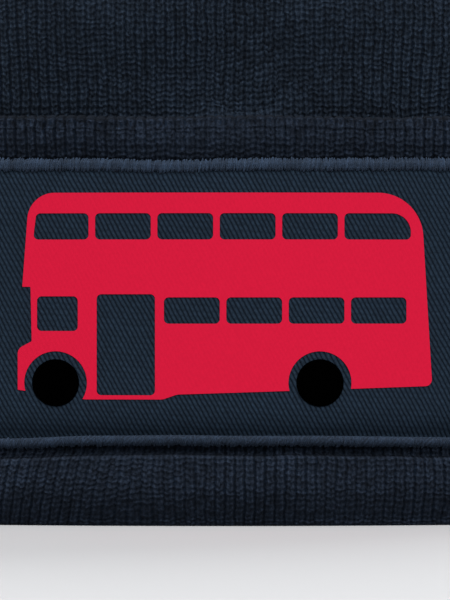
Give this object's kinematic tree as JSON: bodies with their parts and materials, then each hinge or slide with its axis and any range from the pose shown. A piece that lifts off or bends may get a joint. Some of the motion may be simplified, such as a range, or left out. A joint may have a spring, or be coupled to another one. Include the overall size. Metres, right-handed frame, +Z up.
{
  "type": "knitted cuffed beanie hat",
  "caption": "Close-fitting double-layer rib-knit hat with a deep turned-up cuff and a sewn-on twill patch that carries a printed double-decker bus figure.",
  "frame": {"origin": "middle of the head opening, in the plane that the bottom fold stands on", "axes": "+Z up towards the crown, -Y towards the front where the patch is, +X to the right of someone who looks at the patch"},
  "size_m": [0.18, 0.1097, 0.2049],
  "materials": {
    "knit": "fine navy rib knit, soft and matt",
    "twill": "navy polyester twill, matt, with steep diagonal ribs",
    "border_thread": "lighter navy whipped thread, slightly glossy and fuzzy",
    "red_print": "flat opaque red print film",
    "black_print": "flat opaque black print film"
  },
  "bodies": {
    "root": {"crown": "knit", "lining": "knit", "cuff_outer_ply": "knit", "cuff_inner_ply": "knit", "patch_twill": "twill", "patch_border": "border_thread", "print_bus_body": "red_print", "print_front_wheel": "black_print", "print_rear_wheel": "black_print"}
  },
  "joints": []
}
